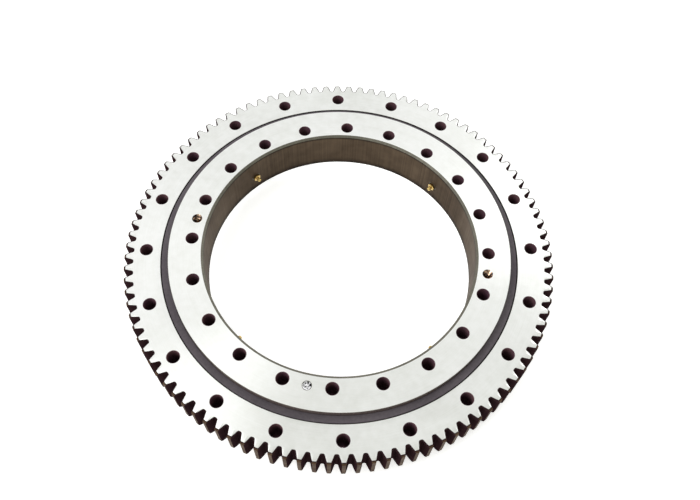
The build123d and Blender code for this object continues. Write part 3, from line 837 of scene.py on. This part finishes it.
def group(name, inputs, outputs, build):
    """A shader node group with named sockets, built once; build(tree, inputs) returns the outputs."""
    if name in bpy.data.node_groups:
        return bpy.data.node_groups[name]
    tree = bpy.data.node_groups.new(name, "ShaderNodeTree")
    for label, kind, default in inputs:
        socket = tree.interface.new_socket(name=label, in_out="INPUT", socket_type=kind)
        if default is not None:
            socket.default_value = default
    for label, kind in outputs:
        tree.interface.new_socket(name=label, in_out="OUTPUT", socket_type=kind)
    start = tree.nodes.new("NodeGroupInput")
    made = build(tree, {label: start.outputs[label] for label, _, _ in inputs})
    end = tree.nodes.new("NodeGroupOutput")
    for label, socket in made.items():
        tree.links.new(socket, end.inputs[label])
    return tree


def tool_marks():
    """Marks that a machine tool leaves: noise stretched round the axis, up it, or out from it.

    The noise's place is the direction from the axis times Around, the height times Up, and the radius
    times Out, so it has no seam where the angle starts again.
    """
    def build(tree, given):
        apart = add(tree, "ShaderNodeSeparateXYZ", {0: given["Position"]}).outputs
        square = maths(tree, "ADD", maths(tree, "POWER", apart[0], 2.0), maths(tree, "POWER", apart[1], 2.0))
        radius = maths(tree, "MAXIMUM", maths(tree, "SQRT", square), 1e-4)
        place = add(tree, "ShaderNodeCombineXYZ", {
            0: maths(tree, "MULTIPLY", maths(tree, "DIVIDE", apart[0], radius), given["Around"]),
            1: maths(tree, "MULTIPLY", maths(tree, "DIVIDE", apart[1], radius), given["Around"]),
            2: maths(tree, "MULTIPLY", apart[2], given["Up"]),
        }).outputs[0]
        noise = add(tree, "ShaderNodeTexNoise", {
            "Vector": place, "W": maths(tree, "MULTIPLY", radius, given["Out"]), "Scale": 1.0,
            "Detail": given["Detail"], "Roughness": 0.6,
        }, noise_dimensions="4D")
        sharp = add(tree, "ShaderNodeMapRange", {
            "Value": noise.outputs[0], "From Min": 0.32, "From Max": 0.68,
        })
        return {"Marks": sharp.outputs[0]}

    inputs = [("Position", VECTOR, None), ("Around", FLOAT, 100.0), ("Up", FLOAT, 5.0), ("Out", FLOAT, 5.0),
              ("Detail", FLOAT, 3.0)]
    return group("tool marks", inputs, [("Marks", FLOAT)], build)


def mottle():
    """Cloudy variation of two sizes, as left by oil and handling on steel."""
    def build(tree, given):
        large = add(tree, "ShaderNodeTexNoise", {"Vector": given["Position"], "Scale": given["Large"],
                                                 "Detail": 3.0, "Roughness": 0.55})
        small = add(tree, "ShaderNodeTexNoise", {"Vector": given["Position"], "Scale": given["Small"],
                                                 "Detail": 2.0, "Roughness": 0.6})
        rest = maths(tree, "SUBTRACT", 1.0, given["Balance"])
        mixed = maths(tree, "ADD", maths(tree, "MULTIPLY", large.outputs[0], given["Balance"]),
                      maths(tree, "MULTIPLY", small.outputs[0], rest))
        spread = add(tree, "ShaderNodeMapRange", {"Value": mixed, "From Min": 0.34, "From Max": 0.66})
        return {"Cloud": spread.outputs[0]}

    inputs = [("Position", VECTOR, None), ("Large", FLOAT, 12.0), ("Small", FLOAT, 160.0),
              ("Balance", FLOAT, 0.6)]
    return group("mottle", inputs, [("Cloud", FLOAT)], build)


def scratches():
    """Sparse fine scratches: the thin middle lines of a stretched and bent wave, broken up by noise."""
    def build(tree, given):
        bent = add(tree, "ShaderNodeTexNoise", {"Vector": given["Position"], "Scale": 9.0, "Detail": 1.0})
        moved = add(tree, "ShaderNodeVectorMath", {0: given["Position"], 1: bent.outputs["Color"]},
                    operation="ADD").outputs[0]
        turned = add(tree, "ShaderNodeMapping", {"Vector": moved, "Rotation": (0.0, 0.0, 0.6),
                                                 "Scale": (1.0, 7.0, 1.0)})
        line = add(tree, "ShaderNodeTexNoise", {"Vector": turned.outputs[0], "Scale": given["Density"],
                                                "Detail": 0.0})
        near = maths(tree, "ABSOLUTE", maths(tree, "SUBTRACT", line.outputs[0], 0.5))
        thin = add(tree, "ShaderNodeMapRange", {"Value": near, "From Min": 0.0, "From Max": given["Width"],
                                                "To Min": 1.0, "To Max": 0.0}).outputs[0]
        patch = add(tree, "ShaderNodeTexNoise", {"Vector": given["Position"], "Scale": 31.0, "Detail": 1.0})
        kept = add(tree, "ShaderNodeMapRange", {"Value": patch.outputs[0], "From Min": 0.56,
                                                "From Max": 0.62})
        return {"Scratch": maths(tree, "MULTIPLY", thin, kept.outputs[0])}

    inputs = [("Position", VECTOR, None), ("Density", FLOAT, 60.0), ("Width", FLOAT, 0.006)]
    return group("scratches", inputs, [("Scratch", FLOAT)], build)


def painted_shade_line():
    """A level line of painted shade round a wall at one height, soft on both sides and of uneven strength.
    """
    def build(tree, given):
        apart = add(tree, "ShaderNodeSeparateXYZ", {0: given["Position"]}).outputs
        away = maths(tree, "ABSOLUTE", maths(tree, "SUBTRACT", apart[2], given["Height"]))
        soft = add(tree, "ShaderNodeMapRange", {
            "Value": away, "From Min": 0.0, "From Max": given["Width"], "To Min": 1.0, "To Max": 0.0,
        }, interpolation_type="SMOOTHSTEP").outputs[0]
        noise = add(tree, "ShaderNodeTexNoise", {"Vector": given["Position"], "Scale": 40.0, "Detail": 2.0})
        uneven = add(tree, "ShaderNodeMapRange", {
            "Value": noise.outputs[0], "From Min": 0.3, "From Max": 0.6, "To Min": 0.6,
        }).outputs[0]
        return {"Line": maths(tree, "MULTIPLY", soft, uneven)}

    inputs = [("Position", VECTOR, None), ("Height", FLOAT, 0.0), ("Width", FLOAT, 0.002)]
    return group("painted shade line", inputs, [("Line", FLOAT)], build)


def mix_colour(tree, factor, first, second):
    """A mix of two colours by a factor."""
    node = tree.nodes.new("ShaderNodeMix")
    node.data_type = "RGBA"
    for index, value in ((0, factor), (6, first), (7, second)):
        if isinstance(value, bpy.types.NodeSocket):
            tree.links.new(value, node.inputs[index])
        elif index == 0:
            node.inputs[index].default_value = value
        else:
            node.inputs[index].default_value = (*value, 1.0) if len(value) == 3 else value
    return node.outputs[2]


def machined(name, light, dark, metallic, roughness, marks, cloud=(12.0, 160.0, 0.6), blend=0.5, bump=0.15,
             scratch=0.0, specular=0.5, brushed=0.0, lines=(), contrast=1.0):
    """A machined metal: two colours mixed by tool marks and mottle, with roughness from both and bump from
    the tool marks and any scratches.

    Brushed stretches its highlights across the marks that run round the axis. Each line is a height and a
    width of painted shade, a dark band mixed into the colour. Contrast above one keeps the two colours
    further apart.
    """
    material = bpy.data.materials.new(name)
    material.use_nodes = True
    tree = material.node_tree
    tree.nodes.clear()
    position = add(tree, "ShaderNodeTexCoord").outputs["Object"]

    def placed(node_tree, **values):
        node = add(tree, "ShaderNodeGroup", node_tree=node_tree)
        tree.links.new(position, node.inputs["Position"])
        for key, value in values.items():
            node.inputs[key].default_value = value
        return node.outputs[0]

    lay = placed(tool_marks(), Around=marks[0], Up=marks[1], Out=marks[2])
    clouds = placed(mottle(), Large=cloud[0], Small=cloud[1], Balance=cloud[2])
    factor = maths(tree, "ADD", maths(tree, "MULTIPLY", lay, blend),
                   maths(tree, "MULTIPLY", clouds, 1 - blend))
    if contrast > 1:
        factor = add(tree, "ShaderNodeMapRange", {
            "Value": factor, "From Min": 0.5 - 0.5 / contrast, "From Max": 0.5 + 0.5 / contrast,
        }).outputs[0]
    base = mix_colour(tree, factor, tuple(dark), tuple(light))
    # Painted shade: each line mixes a dark band into the colour round the wall at its height.
    for level, width in lines:
        base = mix_colour(tree, placed(painted_shade_line(), Height=level, Width=width), base, PAINTED_SHADE_DARK)
    height = lay
    if scratch:
        cut = placed(scratches())
        base = mix_colour(tree, maths(tree, "MULTIPLY", cut, scratch), base, (1.0, 1.0, 1.0))
        height = maths(tree, "SUBTRACT", height, maths(tree, "MULTIPLY", cut, 0.8))
    low, high = roughness
    rough = add(tree, "ShaderNodeMapRange", {"Value": factor, "To Min": high, "To Max": low}).outputs[0]
    relief = add(tree, "ShaderNodeBump", {"Strength": bump, "Distance": 0.0002, "Height": height}).outputs[0]
    shader = add(tree, "ShaderNodeBsdfPrincipled", {
        "Base Color": base, "Metallic": metallic, "Roughness": rough, "Normal": relief,
        "Specular IOR Level": specular,
    })
    if brushed:
        shader.inputs["Anisotropic"].default_value = brushed
        shader.inputs["Anisotropic Rotation"].default_value = 0.25
        round_axis = add(tree, "ShaderNodeTangent", direction_type="RADIAL", axis="Z")
        tree.links.new(round_axis.outputs[0], shader.inputs["Tangent"])
    add(tree, "ShaderNodeOutputMaterial", {0: shader.outputs[0]})
    return material


def ring_finishes(sizes, colours, walls):
    """The rings' finishes in slot order; walls are the two that differ between the rings."""
    # Heights of the bore's painted shade lines: a wide dark band at its lower end, towards the floor, and a
    # thin one under its top chamfer.
    low = sizes.step + sizes.bore_chamfer_depth
    high = sizes.step + sizes.height - sizes.bore_chamfer_depth
    made = {
        "ground_face": lambda name: machined(
            name, colours.face_light, colours.face_dark, 0.85, (0.30, 0.42), (3.0, 0.0, 700.0),
            (7.0, 90.0, 0.6), 0.25, 0.05, scratch=0.5, brushed=0.85),
        "filed_edge": lambda name: machined(
            name, colours.edge_light, colours.edge_dark, 0.3, (0.35, 0.5), (300.0, 10.0, 10.0),
            specular=0.3),
        # Flanks and tip lands: partly their own oiled tone, partly painted dark reflection in their dark
        # colours, with no specular.
        "gear_flank": lambda name: machined(
            name, colours.flank_light, colours.flank_dark, 0.0, (0.45, 0.6), (900.0, 12.0, 200.0),
            (40.0, 400.0, 0.5), 0.5, 0.3, specular=0.0),
        "tip_land": lambda name: machined(
            name, colours.tip_light, colours.tip_dark, 0.0, (0.4, 0.6), (60.0, 900.0, 50.0),
            (60.0, 300.0, 0.6), 0.35, 0.2, specular=0.03),
        "turned_bore": lambda name: machined(
            name, colours.bore_light, colours.bore_dark, 0.45, (0.34, 0.48), (90.0, 1.5, 1.0),
            (9.0, 60.0, 0.75), 0.35, 0.1, specular=0.05, brushed=0.9,
            lines=((low, 14.0 * MM), (high, 5.0 * MM))),
        # Painted shade: the step wall is coloured dark for the shadow it stands in.
        "step_wall": lambda name: machined(
            name, colours.step_shade_light, colours.step_shade_dark, 0.0, (0.4, 0.55), (120.0, 40.0, 1.0),
            (9.0, 100.0, 0.6), 0.5, 0.1, specular=0.15),
        # Painted shade: holes, ports and the pin hole are coloured dark for the shade inside them.
        "bolt_hole_wall": lambda name: machined(
            name, colours.hole_light, colours.hole_dark, 0.0, (0.35, 0.5), (20.0, 700.0, 20.0),
            (50.0, 300.0, 0.7), 0.3, 0.3, specular=0.0),
        "seal_recess": lambda name: machined(
            name, (0.05, 0.04, 0.05), (0.012, 0.009, 0.013), 0.2, (0.4, 0.6), (50.0, 300.0, 300.0),
            specular=0.15),
        "raceway": lambda name: machined(
            name, (0.62, 0.62, 0.60), (0.35, 0.34, 0.33), 0.9, (0.12, 0.22), (3.0, 900.0, 900.0)),
        # The plain rim takes the tip colours, with their painted dark reflection.
        "plain_rim": lambda name: machined(
            name, colours.tip_light, colours.tip_dark, 0.1, (0.4, 0.6), (30.0, 900.0, 10.0), specular=0.15),
        # Painted reflection and shade: copper glints and near-black patches, kept far apart.
        "lifting_thread": lambda name: machined(
            name, colours.thread_light, colours.thread_dark, 0.9, (0.15, 0.3), (30.0, 300.0, 300.0),
            (140.0, 300.0, 0.8), 0.1, 0.1, contrast=4.0),
    }

    def get(name):
        return bpy.data.materials.get(name) or made[name](name)

    names = ["ground_face", "filed_edge", *walls, "bolt_hole_wall", "seal_recess", "raceway", "plain_rim",
             "lifting_thread"]
    return [get(name) for name in names]


# ---------------------------------------------------------------- operators

class BuildsPiece:
    """What the operators share: they undo as one step and read the scene's sizes."""

    bl_options = {"REGISTER", "UNDO"}

    def groups(self, context):
        """The scene's four groups of sizes and colours."""
        scene = context.scene
        return scene.ring_sizes, scene.gear_sizes, scene.fitting_sizes, scene.ring_colours


class AddGearRing(BuildsPiece, bpy.types.Operator):
    """Add the geared outer ring"""

    bl_idname = "slewing_ring.add_gear_ring"
    bl_label = "Geared Outer Ring"

    def execute(self, context):
        sizes, gear, _, colours = self.groups(context)
        finishes = ring_finishes(sizes, colours, ("gear_flank", "tip_land"))
        finish_piece("gear_ring", gear_ring_skin(sizes, gear), finishes, OUTER_BODY,
                     ["outer_ring"])
        return {"FINISHED"}


class AddBoreRing(BuildsPiece, bpy.types.Operator):
    """Add the inner ring with its bore, ports and lifting threads"""

    bl_idname = "slewing_ring.add_bore_ring"
    bl_label = "Inner Ring"

    def execute(self, context):
        sizes, _, fittings, colours = self.groups(context)
        finishes = ring_finishes(sizes, colours, ("turned_bore", "step_wall"))
        finish_piece("bore_ring", bore_ring_skin(sizes, fittings), finishes, INNER_BODY,
                     ["inner_ring"], sizes.rest)
        return {"FINISHED"}


class AddSeals(BuildsPiece, bpy.types.Operator):
    """Add the top and bottom rubber seals"""

    bl_idname = "slewing_ring.add_seals"
    bl_label = "Seals"

    def execute(self, context):
        sizes, _, fittings, colours = self.groups(context)
        # Painted sheen: the black rubber is coloured grey.
        rubber = machined("seal_rubber", colours.seal_light, colours.seal_dark, 0.0, (0.5, 0.7),
                          (30.0, 60.0, 900.0), (14.0, 250.0, 0.6), 0.3, 0.2, specular=0.2)
        top = seal_profile(sizes)
        across = [(2 * sizes.circle - r, sizes.height + sizes.step - z) for r, z in top]
        finish_piece("top_seal_ring", seal_skin(top, fittings.seam), [rubber], INNER_BODY,
                     ["top_seal"], sizes.rest)
        finish_piece("bottom_seal_ring", seal_skin(across, fittings.seam), [rubber], OUTER_BODY,
                     ["bottom_seal"])
        return {"FINISHED"}


class AddNipples(BuildsPiece, bpy.types.Operator):
    """Add the grease nipples and the springs in them"""

    bl_idname = "slewing_ring.add_nipples"
    bl_label = "Grease Nipples"

    def execute(self, context):
        sizes, _, fittings, colours = self.groups(context)
        brass = machined("turned_brass", colours.brass_light, colours.brass_dark, 1.0, (0.18, 0.34),
                         (60.0, 300.0, 300.0), (60.0, 500.0, 0.5), 0.3, 0.1)
        wire = machined("spring_wire", (0.55, 0.55, 0.55), (0.30, 0.30, 0.31), 1.0, (0.25, 0.4),
                        (200.0, 300.0, 300.0), (200.0, 900.0, 0.5))
        # Painted shade: the thread and hexagon within a set reach of the bore wall take a darker brass for
        # the shade there.
        wall_shade_brass = machined("wall_shaded_brass", colours.brass_dark, 0.3 * Vector(colours.brass_dark), 0.8,
                           (0.3, 0.45), (60.0, 300.0, 300.0), (90.0, 500.0, 0.5), 0.3, 0.1)
        turns = fittings.first_nipple + 2 * pi * np.arange(fittings.nipples) / fittings.nipples
        rows = laid_in_bore(sizes, fittings, nipple_rows(fittings))
        in_wall_shade = rows[:-1, 0, 0] > sizes.bore - WALL_SHADE_REACH
        skin = Skin()
        skin.grid(rows, in_wall_shade.astype(int), turns=turns)
        finish_piece("brass_nipples", skin, [brass, wall_shade_brass], INNER_BODY, ["grease_nipples"],
                     sizes.rest)
        coil = laid_in_bore(sizes, fittings, spring_rows())
        for number, turn in enumerate(turns, 1):
            skin = Skin()
            skin.grid(coil, 0, turns=[turn])
            piece = finish_piece(f"nipple_spring_{number}", skin, [wire], INNER_BODY,
                                 ["nipple_springs"], sizes.rest)
            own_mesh(piece)
        return {"FINISHED"}


class AddPin(BuildsPiece, bpy.types.Operator):
    """Add the taper pin that holds the filling plug"""

    bl_idname = "slewing_ring.add_pin"
    bl_label = "Taper Pin"

    def execute(self, context):
        sizes, _, fittings, colours = self.groups(context)
        # Painted glints and shade: the pin end's mottle runs from near white to near black, with strong
        # contrast.
        punched = machined("punched_pin", colours.pin_light, colours.pin_dark, 0.9, (0.2, 0.4),
                           (30.0, 200.0, 900.0), (330.0, 900.0, 0.8), 0.0, 0.2, contrast=5.0)
        skin = Skin()
        skin.grid(pin_rows(sizes, fittings), 0, turns=[fittings.plug_angle])
        finish_piece("punched_taper_pin", skin, [punched], INNER_BODY, ["plug_taper_pin"],
                     sizes.rest)
        return {"FINISHED"}


class FinishFrameParts(BuildsPiece, bpy.types.Operator):
    """Give the balls, spacers and filling plug their finishes"""

    bl_idname = "slewing_ring.finish_frame_parts"
    bl_label = "Balls, Spacers and Plug"

    def execute(self, context):
        sizes, _, _, colours = self.groups(context)
        lapped = machined("lapped_ball", (0.80, 0.80, 0.81), (0.55, 0.55, 0.57), 1.0, (0.06, 0.14),
                          (20.0, 200.0, 200.0), (60.0, 500.0, 0.6), 0.2, 0.02)
        nylon = machined("moulded_nylon", (0.80, 0.77, 0.66), (0.62, 0.58, 0.47), 0.0, (0.4, 0.55),
                         (20.0, 40.0, 40.0), (80.0, 600.0, 0.5), 0.2, 0.05)
        bore = ring_finishes(sizes, colours, ("turned_bore", "step_wall"))[BORE]
        finishes = {"ball_spacers": nylon, "filling_plug": bore}
        replaced = {"outer_ring", "inner_ring", "top_seal", "bottom_seal", "grease_nipples",
                    "nipple_springs", "plug_taper_pin"}
        for name, node in frame["nodes"].items():
            if name in replaced:
                continue
            node.data.materials.clear()
            node.data.materials.append(finishes.get(name, lapped))
        return {"FINISHED"}


class AddStage(BuildsPiece, bpy.types.Operator):
    """Add the pale floor, the soft light and the camera"""

    bl_idname = "slewing_ring.add_stage"
    bl_label = "Stage"

    def execute(self, context):
        scene = context.scene
        scene.view_settings.view_transform = "Standard"
        add_floor(scene)
        add_world(scene)
        add_lights(scene)
        add_camera(scene)
        return {"FINISHED"}


def add_floor(scene):
    """A pale floor just under the ring, light enough that shadows on it stay faint."""
    half, drop = 6.0, 0.0003
    corners = np.array(((-half, -half, 0), (half, -half, 0), (half, half, 0), (-half, half, 0)))
    corners = corners - (0, 0, drop)
    mesh = bpy.data.meshes.new("stage_floor")
    mesh.from_pydata(corners.tolist(), [], [(0, 1, 2, 3)])
    floor = bpy.data.objects.new("stage_floor", mesh)
    scene.collection.objects.link(floor)
    material = bpy.data.materials.new("pale_floor")
    material.use_nodes = True
    shader = material.node_tree.nodes["Principled BSDF"]
    shader.inputs["Base Color"].default_value = (0.95, 0.95, 0.95, 1)
    shader.inputs["Roughness"].default_value = 0.9
    shader.inputs["Specular IOR Level"].default_value = 0.0
    shader.inputs["Emission Color"].default_value = (1, 1, 1, 1)
    shader.inputs["Emission Strength"].default_value = 0.55
    mesh.materials.append(material)


def add_world(scene):
    """A bright studio: white at the sides and the back, darker towards the front and the front right."""
    world = bpy.data.worlds.new("studio")
    scene.world = world
    world.use_nodes = True
    tree = world.node_tree
    tree.nodes.clear()
    way = add(tree, "ShaderNodeTexCoord").outputs["Generated"]
    apart = add(tree, "ShaderNodeSeparateXYZ", {0: way}).outputs
    lean = maths(tree, "SUBTRACT", maths(tree, "MULTIPLY", apart[0], 0.45), apart[1])
    side = add(tree, "ShaderNodeMapRange", {"Value": lean, "From Min": -0.75, "From Max": 0.6},
               interpolation_type="SMOOTHSTEP").outputs[0]
    colour_mix = mix_colour(tree, side, (1.0, 1.0, 1.0), (0.58, 0.59, 0.54))
    back = add(tree, "ShaderNodeBackground", {"Color": colour_mix, "Strength": 1.0})
    add(tree, "ShaderNodeOutputWorld", {0: back.outputs[0]})


def add_lights(scene):
    """Two large soft panels above the ring."""
    for name, place, aim, size, power in (
        ("panel_left", (-2.0, -1.1, 1.9), (0, 0, 0.05), 1.6, 34.0),
        ("panel_right", (1.9, 1.7, 1.9), (0, 0, 0.05), 1.4, 14.0),
    ):
        data = bpy.data.lights.new(name, "AREA")
        data.size, data.energy = size, power
        light = bpy.data.objects.new(name, data)
        light.matrix_world = Matrix.Translation(place) @ (
            (Vector(aim) - Vector(place)).to_track_quat("-Z", "Y").to_matrix().to_4x4()
        )
        scene.collection.objects.link(light)


def add_camera(scene):
    """The camera: its elevation, its roll, and its turn about the ring's axis, aimed at the upper faces."""
    elevation, roll, turn = radians(60.905), radians(3.555), radians(-4.235)
    distance, aim = 1.1096, Vector((0.01434, -0.00036, 0.070))
    back = Vector((0, -cos(elevation), sin(elevation)))
    right, up = Vector((1, 0, 0)), Vector((0, sin(elevation), cos(elevation)))
    across, above = right * cos(roll) + up * sin(roll), up * cos(roll) - right * sin(roll)
    axes = Matrix((across, above, back)).transposed().to_4x4()
    data = bpy.data.cameras.new("camera")
    data.sensor_width, data.lens = 36.0, 38.73
    data.clip_start, data.clip_end = 0.01, 50.0
    camera = bpy.data.objects.new("camera", data)
    scene.collection.objects.link(camera)
    camera.matrix_world = Matrix.Rotation(turn, 4, "Z") @ Matrix.Translation(aim + back * distance) @ axes
    scene.camera = camera


class SlewingRingPanel(bpy.types.Panel):
    """Lists the pieces' operators and their sizes and colours"""

    bl_idname = "VIEW3D_PT_slewing_ring"
    bl_label = "Slewing Ring"
    bl_space_type = "VIEW_3D"
    bl_region_type = "UI"
    bl_category = "Slewing Ring"

    def draw(self, context):
        column = self.layout.column(align=True)
        for operator in OPERATORS:
            column.operator(operator.bl_idname)
        for name in GROUPS:
            box = self.layout.box()
            settings = getattr(context.scene, name)
            for key in settings.__annotations__:
                box.prop(settings, key)


OPERATORS = (AddGearRing, AddBoreRing, AddSeals, AddPin, AddNipples, FinishFrameParts, AddStage)
GROUPS = {
    "ring_sizes": RingSizes, "gear_sizes": GearSizes, "fitting_sizes": FittingSizes,
    "ring_colours": RingColours,
}


def register():
    """Registers the classes and puts the groups of settings on the scene."""
    for item in (*GROUPS.values(), *OPERATORS, SlewingRingPanel):
        bpy.utils.register_class(item)
    for name, kind in GROUPS.items():
        setattr(bpy.types.Scene, name, PointerProperty(type=kind))


def unregister():
    """Takes away what register made."""
    for name in GROUPS:
        delattr(bpy.types.Scene, name)
    for item in (SlewingRingPanel, *reversed(OPERATORS), *reversed(GROUPS.values())):
        bpy.utils.unregister_class(item)


def main():
    """Builds every piece and the stage."""
    register()
    for operator in OPERATORS:
        group_name, call = operator.bl_idname.split(".")
        if getattr(getattr(bpy.ops, group_name), call)() != {"FINISHED"}:
            raise RuntimeError(f"{operator.bl_label} wasn't finished")


if __name__ == "__main__":
    main()
